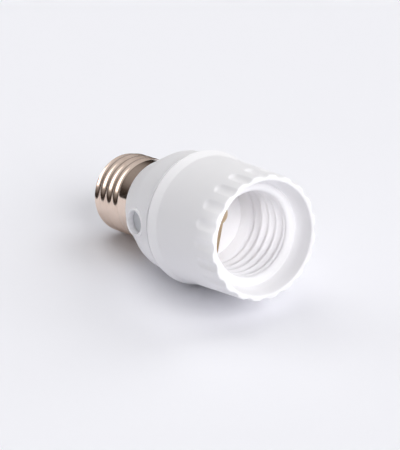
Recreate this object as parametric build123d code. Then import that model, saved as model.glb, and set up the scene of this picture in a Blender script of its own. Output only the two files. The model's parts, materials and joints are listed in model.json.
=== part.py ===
"""Dusk to dawn socket adapter: a screw base, a light-sensing housing and a fluted lamp socket.

Each piece is modelled upright about the Z axis, with the mouth up and the back face of the lower cup at
height zero. The finished pieces are then laid on their side as the real adapter lies on a table: on the
collar's edge and on the last crest of the screw thread. Millimetres.
"""
from build123d import *
import os
from math import atan2, cos, degrees, sin, sqrt

# Screw base
thread_pitch = 3.62
thread_crest_r = 13.05
thread_depth = 0.9
shell_sheet = 0.35
shell_length = 20.6
shell_plain_length = 6.6
shell_rear_round = 1.6
shell_lip_reach = 1.0
rear_crest_height = -19.0

# Neck and end of the base
fit_clearance = 0.05
neck_wall = 1.6
nose_length = 3.2
nose_floor = 2.0
contact_seat_r = 5.0
contact_head_r = 4.6
contact_dome = 1.6
contact_stem_r = 1.5
contact_flare_r = 2.4
contact_flare = 0.7

# Lower cup
cup_back_r = 14.2
cup_shoulder_r = 19.25
cup_shoulder_height = 11.5
cup_shoulder_round = 12.0
cup_rim_r = 21.05
cup_height = 22.3
cup_wall = 1.8
cup_edge_round = 0.4

# Sensor eye in the cup's side
eye_angle = 263.7
eye_drop = 8.8
eye_face_reach = 19.95
eye_boss_r = 4.5
eye_bore_r = 3.7
eye_depth = 2.2
eye_ledge = 0.8
eye_bevel = 0.3
eye_tube_length = 5.2
window_thickness = 1.1
photocell_r = 2.5
photocell_length = 2.2
photocell_gap = 0.2
photocell_lead_r = 0.25
photocell_lead_spacing = 2.5
photocell_lead_bend = 1.0

# Circuit board and the ribs it stands on
board_drop = 3.9
board_thickness = 1.6
board_gap = 1.0
rib_count = 4
rib_width = 2.0
rib_seat = 1.8
rib_angle = 35.0

# Upper shell
collar_r = 21.35
collar_edge = 0.35
collar_land = 0.4
band_front_r = 20.4
band_length = 3.55
skirt_length = 28.4
mouth_r = 19.5
mouth_inner_r = 18.2
mouth_edge_round = 0.3
shell_wall = 2.0
spigot_wall = 1.6
gutter_depth = 1.3
gutter_r = 17.5
gutter_round = 1.6
lip_recess = 5.9
lip_wall = 2.3
lip_round = 0.6
web_thickness = 1.6

# Flutes round the mouth
flute_count = 20
flute_angle = 10.7
flute_length = 9.0
flute_start_depth = 0.35
flute_rim_depth = 0.8
flute_cutter_r = 2.0

# Socket
bore_r = 13.3
well_depth = 7.7
bore_entry_round = 1.5
well_r = 12.5
tube_wall = 1.7

# Contact carrier under the socket
carrier_plug = 2.3
carrier_flange = 1.6
carrier_foot_length = 1.4
carrier_foot_r = 1.2
carrier_foot_reach = 13.4
carrier_foot_count = 3
carrier_foot_angle = 15.0

# Lamp contacts
contact_sheet = 0.4
leaf_angle = 343.7
leaf_width = 4.2
leaf_head_r = 3.6
leaf_rise = 4.7
leaf_fall = 1.0
leaf_heel_reach = 11.2
leaf_foot_inner = 5.0
leaf_bend = 1.0
side_angle = 240.0
side_width = 4.0
side_foot_inner = 6.3
side_heel_reach = 12.0
side_rise = 6.7
side_tip_lean = 0.9
rivet_reach = 7.7
rivet_head_r = 1.6
rivet_head = 0.7
rivet_stem_r = 0.9

# Parts on the board, each as a place across the board and its own sizes
part_standoff = 0.5
leg_r = 0.3
electrolytic_place = (10.0, 4.6)
electrolytic_r = 4.0
electrolytic_length = 9.0
electrolytic_leg_pitch = 3.5
film_place = (8.8, -5.4)
film_size = (5.0, 11.0, 8.5)
film_edge_round = 0.6
film_leg_pitch = 7.5
triac_place = (1.0, 4.6)
triac_size = (7.8, 2.7, 9.0)
triac_leg_pitch = 2.3
triac_leg_length = 2.0
triac_hole_r = 1.6
transistor_place = (0.8, -5.0)
transistor_r = 2.3
transistor_flat = 1.3
transistor_length = 4.6
transistor_leg_pitch = 1.27
transistor_leg_length = 2.0
bridge_place = (1.5, 10.8)
bridge_size = (8.3, 6.4, 3.3)
bridge_leg_pitch = (5.1, 4.4)
resistor_count = 3
resistor_spacing = 2.8
resistor_row = (-13.2, -5.0)
resistor_r = 1.15
resistor_length = 6.3
fuse_place = (-11.0, 4.0)
fuse_r = 1.6
fuse_length = 8.0

# Lead wires
lead_r = 0.75
live_lead_shift = (2.6, -1.6)
live_lead_rise = 9.0
live_lead_bend = 6.0
shell_lead_angle = 120.0
shell_lead_height = -4.0
shell_lead_reach = 8.0
shell_lead_bend = 2.5

# Sizes that follow from the ones above
thread_root_r = thread_crest_r - thread_depth
shell_bore_r = thread_root_r - shell_sheet
shell_lip_r = shell_bore_r - shell_lip_reach
neck_r = shell_bore_r - fit_clearance
neck_bore_r = neck_r - neck_wall
nose_r = shell_lip_r - fit_clearance
nose_end = -shell_length - nose_length
eye_height = cup_height - eye_drop
board_height = cup_height - board_drop
board_top = board_height + board_thickness
collar_height = cup_height + collar_edge
band_front_height = collar_height + band_length
mouth_height = band_front_height + skirt_length
flute_start_height = mouth_height - flute_length
lip_height = mouth_height - lip_recess
gutter_height = lip_height - gutter_depth
lip_r = bore_r + lip_wall
tube_r = bore_r + tube_wall
carrier_base = board_top + carrier_foot_length
tube_end_height = carrier_base + carrier_flange
floor_height = tube_end_height + carrier_plug
bore_height = floor_height + well_depth
contact_top = floor_height + contact_sheet
leaf_head_height = floor_height + leaf_rise
leaf_shoulder_height = leaf_head_height - leaf_fall
side_height = floor_height + side_rise


def turned(points, rounds=()):
    """Revolve an outline of (radius, height) points about the Z axis.

    rounds lists (index of the point, radius) for the corners that are rounded.
    """
    outline = make_face(Polyline(*points, close=True)).face()
    for index, radius in rounds:
        corner = outline.vertices().sort_by_distance((*points[index], 0))[0]
        outline = outline.fillet_2d(radius, [corner])
    return revolve(Plane.XZ * outline, Axis.Z)


def cup_outer_r(height):
    """Radius of the cup's side above the shoulder."""
    rise = (height - cup_shoulder_height) / (cup_height - cup_shoulder_height)
    return cup_shoulder_r + (cup_rim_r - cup_shoulder_r) * rise


def board_r():
    """Radius of the circuit board, a gap short of the cup's wall."""
    return cup_outer_r(board_height) - cup_wall - board_gap


def skirt_r(height):
    """Radius of the upper shell's side between the band and the mouth."""
    rise = (height - band_front_height) / (mouth_height - band_front_height)
    return band_front_r + (mouth_r - band_front_r) * rise


def around(turn, reach=0.0, height=0.0):
    """Place with X pointing outwards at an angle about the axis."""
    return Rot(0, 0, turn) * Pos(reach, 0, height)


def outward(turn, height, reach=0.0):
    """Place with Z pointing outwards at an angle about the axis."""
    return around(turn, reach, height) * Rot(0, 90, 0)


def rod(radius, low, high):
    """Cylinder on the Z axis between two heights."""
    return Pos(0, 0, low) * Cylinder(radius, high - low, align=(Align.CENTER, Align.CENTER, Align.MIN))


def wire(points, radius, bends):
    """Round wire along straight runs joined by arcs."""
    path = FilletPolyline(*points, radius=bends)
    section = Plane(path @ 0, z_dir=path % 0) * Circle(radius)
    return sweep(section, path)


def screw_shell():
    """Sheet-metal shell with a rolled screw thread, a plain stretch at the cup and a rolled-in rear edge.

    A circle carried along a narrow helix without turning gives the thread's round crests and roots.
    """
    rear = -shell_length
    plain = -shell_plain_length
    start = rear_crest_height - thread_pitch
    swing = thread_depth / 2
    path = Helix(thread_pitch, plain + thread_depth - start, swing, center=(0, 0, start))
    section = Pos(swing, 0, start) * Circle(thread_crest_r - swing)
    thread = sweep(section, path, normal=(0, 0, 1))
    blank_r = thread_crest_r + fit_clearance
    blank = turned([(0, rear), (blank_r, rear), (blank_r, 0), (0, 0)], [(1, shell_rear_round)])
    stretch = turned(
        [
            (0, plain - thread_depth),
            (thread_root_r, plain - thread_depth),
            (thread_crest_r, plain),
            (thread_crest_r, 0),
            (0, 0),
        ]
    )
    inside = rod(shell_bore_r, rear + shell_sheet, 0) + rod(shell_lip_r, rear, 0)
    return (thread & blank) + stretch - inside


def base_contact():
    """Rivet-like contact: a domed head at the end of the base, a stem and a flare inside the nose."""
    flare = nose_end + nose_floor
    dome_r = (contact_head_r**2 + contact_dome**2) / (2 * contact_dome)
    dome = Pos(0, 0, nose_end - contact_dome + dome_r) * Sphere(dome_r)
    head = dome & rod(contact_head_r, nose_end - contact_dome, nose_end)
    return head + rod(contact_stem_r, nose_end, flare) + rod(contact_flare_r, flare, flare + contact_flare)


def cup_cavity():
    """Space inside the cup and its neck, up to the rim."""
    cone_slope = (cup_shoulder_r - cup_back_r) / cup_shoulder_height
    inner_shoulder_r = cup_shoulder_r - cup_wall
    floor_edge_r = inner_shoulder_r - (cup_shoulder_height - cup_wall) * cone_slope
    return turned(
        [
            (0, nose_end + nose_floor),
            (neck_bore_r - nose_floor, nose_end + nose_floor),
            (neck_bore_r, nose_end + 2 * nose_floor),
            (neck_bore_r, cup_wall),
            (floor_edge_r, cup_wall),
            (inner_shoulder_r, cup_shoulder_height),
            (cup_rim_r - cup_wall, cup_height),
            (0, cup_height),
        ]
    )


def lower_cup():
    """Lower housing: nose, neck, flared cup, sensor eye and the ribs under the circuit board."""
    lip_top = -shell_length + shell_sheet
    body = turned(
        [
            (0, nose_end),
            (contact_seat_r, nose_end),
            (nose_r, -shell_length),
            (nose_r, lip_top),
            (neck_r, lip_top),
            (neck_r, 0),
            (cup_back_r, 0),
            (cup_shoulder_r, cup_shoulder_height),
            (cup_rim_r, cup_height),
            (0, cup_height),
        ],
        [(6, cup_edge_round), (7, cup_shoulder_round), (8, cup_edge_round)],
    )
    cavity = cup_cavity()
    rib_inner_r = board_r() - rib_seat
    rib_length = cup_rim_r - rib_inner_r
    rib = Box(rib_length, rib_width, board_height, align=(Align.MIN, Align.CENTER, Align.MIN))
    eye = outward(eye_angle, eye_height, eye_face_reach)
    tube = eye * rod(eye_boss_r, -eye_tube_length, 0)
    bevel = Cone(eye_bore_r, eye_bore_r + 2 * eye_bevel, 2 * eye_bevel)
    window_seat = -eye_depth - window_thickness
    shaft = eye * rod(eye_bore_r, window_seat, eye_bevel)
    throat = eye * rod(eye_bore_r - eye_ledge, -eye_tube_length - cup_wall, eye_bevel)
    cup = body - cavity
    for index in range(rib_count):
        turn = rib_angle + index * 360 / rib_count
        cup += around(turn, rib_inner_r) * rib & cavity
    cup += tube
    cup -= shaft
    cup -= throat
    cup -= eye * bevel
    cup -= rod(contact_stem_r + fit_clearance, nose_end - nose_floor, nose_end + 2 * nose_floor)
    hole = lead_r + 2 * fit_clearance
    cup -= outward(shell_lead_angle, shell_lead_height) * rod(hole, shell_lead_reach, neck_r + fit_clearance)
    return cup


def sensor_window():
    """Flat round window on the ledge inside the sensor eye."""
    pane = rod(eye_bore_r - fit_clearance, -eye_depth - window_thickness, -eye_depth)
    return outward(eye_angle, eye_height, eye_face_reach) * pane


def photocell_back():
    """Distance of the photocell's back from the axis."""
    return eye_face_reach - eye_depth - window_thickness - photocell_gap - photocell_length


def photocell():
    """Light-sensing cell behind the window."""
    back = photocell_back()
    return outward(eye_angle, eye_height) * rod(photocell_r, back, back + photocell_length)


def photocell_leads():
    """Two bare wires from the photocell's back to the circuit board."""
    back = photocell_back()
    turn_in = back - 2 * photocell_lead_bend
    leads = []
    for side in (-1, 1):
        shift = side * photocell_lead_spacing / 2
        route = [(back, shift, eye_height), (turn_in, shift, eye_height), (turn_in, shift, board_height)]
        leads.append(around(eye_angle) * wire(route, photocell_lead_r, photocell_lead_bend))
    return Compound(children=[solid for lead in leads for solid in lead.solids()])


def circuit_board():
    """Round board on the ribs, under the upper shell's spigot."""
    return rod(board_r(), board_height, board_top)


def upper_shell():
    """Upper housing in one moulding: spigot, collar, tapered wall, fluted mouth, lip and socket tube."""
    spigot_r = cup_outer_r(board_top) - cup_wall - fit_clearance
    spigot_bore_r = spigot_r - spigot_wall
    web_base = gutter_height - web_thickness
    wall_top_r = skirt_r(web_base) - shell_wall
    wall_base_r = band_front_r - shell_wall
    shell = turned(
        [
            (spigot_bore_r, board_top),
            (spigot_r, board_top),
            (spigot_r, cup_height),
            (collar_r - collar_edge, cup_height),
            (collar_r, collar_height),
            (collar_r, collar_height + collar_land),
            (band_front_r, band_front_height),
            (mouth_r, mouth_height),
            (mouth_inner_r, mouth_height),
            (gutter_r, gutter_height),
            (lip_r, gutter_height),
            (lip_r, lip_height),
            (bore_r, lip_height),
            (bore_r, bore_height),
            (well_r, bore_height),
            (well_r, tube_end_height),
            (tube_r, tube_end_height),
            (tube_r, web_base),
            (wall_top_r, web_base),
            (wall_base_r, band_front_height),
            (spigot_bore_r, collar_height),
        ],
        [(8, mouth_edge_round), (9, gutter_round), (11, lip_round), (12, bore_entry_round)],
    )
    return shell - flute_cutters()


def flute_cutters():
    """Ring of round-ended cutters that deepen towards the mouth."""
    bite = sqrt(flute_start_depth * (2 * flute_cutter_r - flute_start_depth))
    low = flute_start_height + bite
    low_r = skirt_r(low) - flute_start_depth + flute_cutter_r
    rim_r = mouth_r - flute_rim_depth + flute_cutter_r
    run = mouth_height - low
    lean = degrees(atan2(low_r - rim_r, run))
    cutter = Sphere(flute_cutter_r) + rod(flute_cutter_r, 0, run + flute_cutter_r)
    cutter = Pos(low_r, 0, low) * Rot(0, -lean, 0) * cutter
    return [around(flute_angle + index * 360 / flute_count) * cutter for index in range(flute_count)]


def contact_carrier():
    """Floor of the socket: a plug in the socket tube, a flange under it and feet on the circuit board."""
    carrier = turned(
        [
            (0, carrier_base),
            (tube_r, carrier_base),
            (tube_r, tube_end_height),
            (well_r - fit_clearance, tube_end_height),
            (well_r - fit_clearance, floor_height),
            (0, floor_height),
        ]
    )
    for index in range(carrier_foot_count):
        turn = carrier_foot_angle + index * 360 / carrier_foot_count
        carrier += around(turn, carrier_foot_reach) * rod(carrier_foot_r, board_top, carrier_base)
    for turn in (leaf_angle, side_angle):
        carrier -= around(turn, rivet_reach) * rod(rivet_stem_r + fit_clearance, carrier_base, floor_height)
    return carrier


def bent_strip(points, bends, width):
    """Strip of contact sheet along (reach, height) points at half its thickness, before it is turned."""
    middle = FilletPolyline(*points, radius=bends)
    profile = offset(middle, contact_sheet / 2, side=Side.BOTH)
    return extrude(Plane.XZ * make_face(profile), width / 2, both=True)


def contact_hole():
    """Hole for a rivet's stem in a contact's foot."""
    return Pos(rivet_reach, 0, 0) * rod(rivet_stem_r + fit_clearance, floor_height, contact_top)


def centre_contact():
    """Brass leaf: a riveted foot, a heel, and an arm that rises to a round head on the axis."""
    half = contact_sheet / 2
    route = [
        (leaf_foot_inner, floor_height + half),
        (leaf_heel_reach, floor_height + half),
        (leaf_heel_reach, leaf_shoulder_height + half),
        (leaf_head_r, leaf_head_height + half),
        (0, leaf_head_height + half),
    ]
    strip = bent_strip(route, leaf_bend, leaf_width)
    head = rod(leaf_head_r, leaf_head_height, leaf_head_height + contact_sheet)
    return around(leaf_angle) * (strip + head - contact_hole())


def side_contact():
    """Brass strip: a riveted foot and an upright that leans in towards the lamp's shell."""
    half = contact_sheet / 2
    elbow_height = (contact_top + side_height) / 2
    route = [
        (side_foot_inner, floor_height + half),
        (side_heel_reach - half, floor_height + half),
        (side_heel_reach - half, elbow_height),
        (side_heel_reach - half - side_tip_lean, side_height),
    ]
    return around(side_angle) * (bent_strip(route, leaf_bend, side_width) - contact_hole())


def contact_rivet(turn):
    """Rivet through a lamp contact and the carrier, down to the circuit board."""
    head = rod(rivet_head_r, contact_top, contact_top + rivet_head)
    return around(turn, rivet_reach) * (head + rod(rivet_stem_r, board_top, contact_top))


def on_board(spot, shape):
    """Hang a board part, modelled downwards from height zero, under the circuit board."""
    return Pos(*spot, board_height) * shape


def hanging(radius, low, high):
    """Cylinder that hangs down from one depth to another."""
    return rod(radius, -high, -low)


def electrolytic_capacitor():
    """Upright aluminium can."""
    can = hanging(electrolytic_r, part_standoff, part_standoff + electrolytic_length)
    shift = electrolytic_leg_pitch / 2
    legs = [Pos(side * shift, 0, 0) * hanging(leg_r, 0, part_standoff) for side in (-1, 1)]
    return on_board(electrolytic_place, can + legs)


def film_capacitor():
    """Upright box."""
    block = Pos(0, 0, -part_standoff) * Box(*film_size, align=(Align.CENTER, Align.CENTER, Align.MAX))
    block = fillet(block.edges().filter_by(Axis.Z), film_edge_round)
    shift = film_leg_pitch / 2
    legs = [Pos(0, side * shift, 0) * hanging(leg_r, 0, part_standoff) for side in (-1, 1)]
    return on_board(film_place, block + legs)


def triac():
    """Flat power switch on three legs, with a hole through its body."""
    _, depth, height = triac_size
    block = Pos(0, 0, -triac_leg_length) * Box(*triac_size, align=(Align.CENTER, Align.CENTER, Align.MAX))
    hole_depth = -triac_leg_length - height + 2 * triac_hole_r
    block -= Pos(0, 0, hole_depth) * Rot(90, 0, 0) * Cylinder(triac_hole_r, 2 * depth)
    legs = [Pos(index * triac_leg_pitch, 0, 0) * hanging(leg_r, 0, triac_leg_length) for index in (-1, 0, 1)]
    return on_board(triac_place, block + legs)


def transistor():
    """Half-round signal transistor on three legs."""
    drop = transistor_leg_length
    block = hanging(transistor_r, drop, drop + transistor_length)
    size = 2 * transistor_r
    flat = Box(size, size, transistor_length, align=(Align.CENTER, Align.MIN, Align.MAX))
    flat = Pos(0, transistor_flat, -drop) * flat
    legs = [Pos(index * transistor_leg_pitch, 0, 0) * hanging(leg_r, 0, drop) for index in (-1, 0, 1)]
    return on_board(transistor_place, block - flat + legs)


def bridge_rectifier():
    """Flat block on four legs."""
    block = Pos(0, 0, -part_standoff) * Box(*bridge_size, align=(Align.CENTER, Align.CENTER, Align.MAX))
    legs = GridLocations(*bridge_leg_pitch, 2, 2) * hanging(leg_r, 0, part_standoff)
    return on_board(bridge_place, block + legs)


def axial_part(spot, radius, length):
    """Barrel that lies along Y under the board on two legs."""
    drop = part_standoff + radius
    barrel = Pos(0, 0, -drop) * Rot(90, 0, 0) * Cylinder(radius, length)
    shift = length / 2 - 2 * leg_r
    legs = [Pos(0, side * shift, 0) * hanging(leg_r, 0, drop) for side in (-1, 1)]
    return on_board(spot, barrel + legs)


def resistors():
    """Row of equal resistors side by side along X."""
    first_x, row_y = resistor_row
    row = []
    for index in range(resistor_count):
        spot = (first_x + index * resistor_spacing, row_y)
        row += axial_part(spot, resistor_r, resistor_length).solids()
    return Compound(children=row)


def live_lead():
    """Insulated wire from the base contact's flare up to the circuit board."""
    start = nose_end + nose_floor + contact_flare
    shift_x, shift_y = live_lead_shift
    route = [
        (0, 0, start),
        (0, 0, start + live_lead_rise),
        (shift_x, shift_y, cup_wall),
        (shift_x, shift_y, board_height),
    ]
    return wire(route, lead_r, live_lead_bend)


def shell_lead():
    """Insulated wire from the screw shell, through the neck, up to the circuit board."""
    route = [
        (neck_r, 0, shell_lead_height),
        (shell_lead_reach, 0, shell_lead_height),
        (shell_lead_reach, 0, board_height),
    ]
    return around(shell_lead_angle) * wire(route, lead_r, shell_lead_bend)


def resting_place(front, back):
    """Place that lays the adapter on its collar and its last thread crest, over the middle of its length."""
    tilt = atan2(collar_r - thread_crest_r, collar_height - rear_crest_height)
    lying = Rot(0, 90 - degrees(tilt), 0)
    reach = front.moved(lying).bounding_box().max.X + back.moved(lying).bounding_box().min.X
    rise = collar_r * cos(tilt) - collar_height * sin(tilt)
    return Pos(-reach / 2, 0, rise) * lying


def all_pieces():
    """Every piece of the adapter by name, upright about the Z axis."""
    return {
        "screw_shell": screw_shell(),
        "base_contact": base_contact(),
        "lower_cup": lower_cup(),
        "sensor_window": sensor_window(),
        "photocell": photocell(),
        "photocell_leads": photocell_leads(),
        "circuit_board": circuit_board(),
        "electrolytic_capacitor": electrolytic_capacitor(),
        "film_capacitor": film_capacitor(),
        "triac": triac(),
        "transistor": transistor(),
        "bridge_rectifier": bridge_rectifier(),
        "resistors": resistors(),
        "fuse": axial_part(fuse_place, fuse_r, fuse_length),
        "live_lead": live_lead(),
        "shell_lead": shell_lead(),
        "upper_shell": upper_shell(),
        "contact_carrier": contact_carrier(),
        "centre_contact": centre_contact(),
        "side_contact": side_contact(),
        "centre_rivet": contact_rivet(leaf_angle),
        "side_rivet": contact_rivet(side_angle),
    }


pieces = all_pieces()
place = resting_place(pieces["upper_shell"], pieces["base_contact"])
os.makedirs("parts", exist_ok=True)
for name, piece in pieces.items():
    export_step(piece.moved(place), f"parts/{name}.step")
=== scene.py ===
"""Dusk to dawn socket adapter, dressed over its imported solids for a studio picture.

The solids are loaded as a fixed frame. The pieces that show are modelled again, upright about the Z axis with
the mouth up and the back face of the lower cup at height zero, and are then laid where the solids lie. Sizes
are in millimetres unless a name says otherwise.
"""
import json
import logging
import math
from dataclasses import dataclass
from enum import Enum
from typing import Any, Callable, Sequence

import bmesh
import bpy
from mathutils import Matrix, Vector


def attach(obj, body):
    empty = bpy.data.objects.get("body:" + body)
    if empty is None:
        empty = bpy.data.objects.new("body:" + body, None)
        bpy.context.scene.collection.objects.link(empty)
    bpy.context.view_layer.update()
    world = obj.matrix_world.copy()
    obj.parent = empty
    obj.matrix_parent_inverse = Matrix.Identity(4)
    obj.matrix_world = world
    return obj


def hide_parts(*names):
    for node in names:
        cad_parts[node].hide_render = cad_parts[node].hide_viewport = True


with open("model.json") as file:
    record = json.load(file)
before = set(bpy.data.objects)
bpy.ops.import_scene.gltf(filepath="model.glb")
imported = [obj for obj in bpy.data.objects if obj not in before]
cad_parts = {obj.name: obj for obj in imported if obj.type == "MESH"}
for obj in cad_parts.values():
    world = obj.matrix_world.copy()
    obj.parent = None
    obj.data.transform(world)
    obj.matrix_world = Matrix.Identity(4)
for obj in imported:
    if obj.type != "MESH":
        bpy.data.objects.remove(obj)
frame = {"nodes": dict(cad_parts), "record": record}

MM = 0.001
BODY = "root"

log = logging.getLogger("adapter")


def linear(colour: str) -> tuple[float, float, float, float]:
    """Turns an sRGB hex colour into linear light.

    Args:
        colour: Six hex digits after a hash sign.

    Returns:
        Red, green, blue and alpha.
    """
    channels = [int(colour[place : place + 2], 16) / 255 for place in (1, 3, 5)]
    light = [c / 12.92 if c <= 0.04045 else ((c + 0.055) / 1.055) ** 2.4 for c in channels]
    return (light[0], light[1], light[2], 1.0)


def smooth_step(low: float, high: float, value: float) -> float:
    """Rises smoothly from zero at low to one at high."""
    share = min(1.0, max(0.0, (value - low) / (high - low)))
    return share * share * (3 - 2 * share)


def add_node(
    tree: bpy.types.NodeTree,
    kind: str,
    options: dict[str, Any] | None = None,
    values: dict[Any, Any] | None = None,
    links: dict[Any, bpy.types.NodeSocket] | None = None,
) -> bpy.types.Node:
    """Adds one node with its settings and links.

    Args:
        tree: Node tree that gets the node.
        kind: Node type.
        options: Node properties by name.
        values: Constant inputs by name or place.
        links: Sockets that feed the inputs, by name or place.

    Returns:
        The new node.
    """
    node = tree.nodes.new(kind)
    for name, option in (options or {}).items():
        setattr(node, name, option)
    for name, value in (values or {}).items():
        node.inputs[name].default_value = value
    for name, source in (links or {}).items():
        tree.links.new(source, node.inputs[name])
    return node


def new_material(name: str) -> tuple[bpy.types.Material, bpy.types.NodeTree]:
    """Makes an empty node material.

    Args:
        name: Name of the material.

    Returns:
        The material and its empty node tree.
    """
    material = bpy.data.materials.new(name)
    material.use_nodes = True
    material.node_tree.nodes.clear()
    return material, material.node_tree


def noise(
    tree: bpy.types.NodeTree,
    place: bpy.types.NodeSocket,
    scale: float,
    detail: float,
    roughness: float = 0.5,
) -> bpy.types.NodeSocket:
    """Draws a noise pattern.

    Args:
        tree: Node tree that gets the pattern.
        place: Coordinates that it is drawn on.
        scale: Patches per unit of the coordinates.
        detail: How many finer layers it has.
        roughness: How strong the finer layers are.

    Returns:
        The pattern, from zero to one.
    """
    values = {"Scale": scale, "Detail": detail, "Roughness": roughness}
    return add_node(tree, "ShaderNodeTexNoise", values=values, links={"Vector": place}).outputs["Fac"]


def remap(
    tree: bpy.types.NodeTree,
    value: bpy.types.NodeSocket,
    source: tuple[float, float],
    target: tuple[float, float] = (0.0, 1.0),
) -> bpy.types.NodeSocket:
    """Maps one range of a value onto another.

    Args:
        tree: Node tree that gets the node.
        value: Value that is mapped.
        source: Range that it comes from.
        target: Range that it goes to.

    Returns:
        The mapped value.
    """
    values = {"From Min": source[0], "From Max": source[1], "To Min": target[0], "To Max": target[1]}
    return add_node(tree, "ShaderNodeMapRange", values=values, links={"Value": value}).outputs["Result"]


def blend(
    tree: bpy.types.NodeTree, share: bpy.types.NodeSocket, first: str, second: str
) -> bpy.types.NodeSocket:
    """Blends two colours by a pattern.

    Args:
        tree: Node tree that gets the node.
        share: Share of the second colour.
        first: Colour as a hex code.
        second: Colour as a hex code.

    Returns:
        The blended colour.
    """
    return add_node(
        tree,
        "ShaderNodeMix",
        options={"data_type": "RGBA"},
        values={6: linear(first), 7: linear(second)},
        links={0: share},
    ).outputs[2]


def relief(
    tree: bpy.types.NodeTree, height: bpy.types.NodeSocket, strength: float, depth_mm: float
) -> bpy.types.NodeSocket:
    """Tilts the surface's normal by a pattern.

    Args:
        tree: Node tree that gets the node.
        height: Pattern of heights.
        strength: Share of the tilt that is used.
        depth_mm: Depth of the pattern.

    Returns:
        The tilted normal.
    """
    values = {"Strength": strength, "Distance": depth_mm * MM}
    return add_node(tree, "ShaderNodeBump", values=values, links={"Height": height}).outputs["Normal"]


def surface(
    tree: bpy.types.NodeTree,
    values: dict[str, Any],
    links: dict[str, bpy.types.NodeSocket] | None = None,
) -> None:
    """Ends a material with its shader and output.

    Args:
        tree: Node tree of the material.
        values: Constants of the shader by name.
        links: Sockets that feed the shader, by name.
    """
    shader = add_node(tree, "ShaderNodeBsdfPrincipled", values=values, links=links)
    add_node(tree, "ShaderNodeOutputMaterial", links={"Surface": shader.outputs["BSDF"]})


@dataclass(frozen=True)
class RestPose:
    """Place of the upright adapter in the frame, read from the record's mounts."""

    screw_base_middle: float = -3.3

    def matrix(self, record: dict[str, Any]) -> Matrix:
        """Turns the upright adapter into its place in the frame.

        Args:
            record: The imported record.

        Returns:
            The matrix from upright metres to frame metres.
        """
        mounts = {mount["name"]: mount for mount in record["mounts"]}
        axis = Vector(mounts["lamp_socket"]["axis"]).normalized()
        origin = Vector(mounts["screw_base"]["pos_m"]) - axis * self.screw_base_middle * MM
        side = Vector((0.0, 1.0, 0.0))
        turn = Matrix((side.cross(axis), side, axis)).transposed()
        return Matrix.Translation(origin) @ turn.to_4x4()


REST = RestPose().matrix(frame["record"])


@dataclass(frozen=True)
class MouldedPlastic:
    """Moulded ABS: an even soft gloss, with the faint grain and unevenness that the mould leaves."""

    name: str
    colour: str
    shade: str
    roughness: float = 0.46
    roughness_spread: float = 0.04
    ior: float = 1.5
    grain_mm: float = 0.45
    grain_depth_mm: float = 0.006
    grain_strength: float = 0.35
    cloud_mm: float = 9.0
    cloud_range: tuple[float, float] = (0.3, 0.7)

    def material(self) -> bpy.types.Material:
        """Builds the plastic.

        Returns:
            The finished material.
        """
        material, tree = new_material(self.name)
        place = add_node(tree, "ShaderNodeTexCoord").outputs["Object"]
        cloud = noise(tree, place, 1 / (self.cloud_mm * MM), detail=3.0, roughness=0.55)
        # The grain of a polished mould is too fine to show, so it is drawn coarser.
        grain = noise(tree, place, 1 / (self.grain_mm * MM), detail=2.0)
        tone = blend(tree, cloud, self.shade, self.colour)
        gloss = (self.roughness - self.roughness_spread, self.roughness + self.roughness_spread)
        shine = remap(tree, cloud, self.cloud_range, gloss)
        normal = relief(tree, grain, self.grain_strength, self.grain_depth_mm)
        surface(tree, {"IOR": self.ior}, {"Base Color": tone, "Roughness": shine, "Normal": normal})
        return material


@dataclass(frozen=True)
class DrawnMetal:
    """Plated or bare sheet metal: rolled round an axis, so it shines with fine rings and a light haze."""

    name: str
    colour: str
    tarnish: str
    roughness: float = 0.2
    polish: float = 0.05
    haze: float = 0.06
    ring_mm: float = 0.3
    ring_depth_mm: float = 0.004
    ring_strength: float = 0.3
    ring_run_mm: float = 14.0
    stain_mm: float = 5.0
    stain_range: tuple[float, float] = (0.45, 0.8)
    haze_range: tuple[float, float] = (0.3, 0.7)

    def material(self) -> bpy.types.Material:
        """Builds the metal.

        Returns:
            The finished material.
        """
        material, tree = new_material(self.name)
        place = add_node(tree, "ShaderNodeTexCoord").outputs["Object"]
        # The rolling marks run round the adapter's axis, so the pattern is turned to it and drawn out
        # across it. Real marks are too fine to show and are drawn coarser here.
        along = add_node(
            tree,
            "ShaderNodeMapping",
            options={"vector_type": "TEXTURE"},
            values={"Location": REST.to_translation(), "Rotation": REST.to_euler()},
            links={"Vector": place},
        ).outputs["Vector"]
        across = 1 / (self.ring_run_mm * MM)
        rings = add_node(
            tree,
            "ShaderNodeMapping",
            values={"Scale": (across, across, 1 / (self.ring_mm * MM))},
            links={"Vector": along},
        ).outputs["Vector"]
        marks = noise(tree, rings, 1.0, detail=3.0)
        stain = noise(tree, place, 1 / (self.stain_mm * MM), detail=4.0, roughness=0.6)
        tone = blend(tree, remap(tree, stain, self.stain_range), self.colour, self.tarnish)
        gloss = (self.roughness - self.polish, self.roughness + self.haze)
        shine = remap(tree, stain, self.haze_range, gloss)
        normal = relief(tree, marks, self.ring_strength, self.ring_depth_mm)
        surface(tree, {"Metallic": 1.0}, {"Base Color": tone, "Roughness": shine, "Normal": normal})
        return material


@dataclass(frozen=True)
class CoatedPart:
    """Lacquered, sleeved or moulded electronic part: a plain colour broken by fine specks."""

    name: str
    colour: str
    speck: str
    roughness: float = 0.45
    speck_mm: float = 0.6
    speck_range: tuple[float, float] = (0.5, 0.75)
    speck_depth_mm: float = 0.01
    speck_strength: float = 0.2

    def material(self) -> bpy.types.Material:
        """Builds the coating.

        Returns:
            The finished material.
        """
        material, tree = new_material(self.name)
        place = add_node(tree, "ShaderNodeTexCoord").outputs["Object"]
        specks = noise(tree, place, 1 / (self.speck_mm * MM), detail=3.0)
        tone = blend(tree, remap(tree, specks, self.speck_range), self.colour, self.speck)
        normal = relief(tree, specks, self.speck_strength, self.speck_depth_mm)
        surface(tree, {"Roughness": self.roughness}, {"Base Color": tone, "Normal": normal})
        return material


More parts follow.
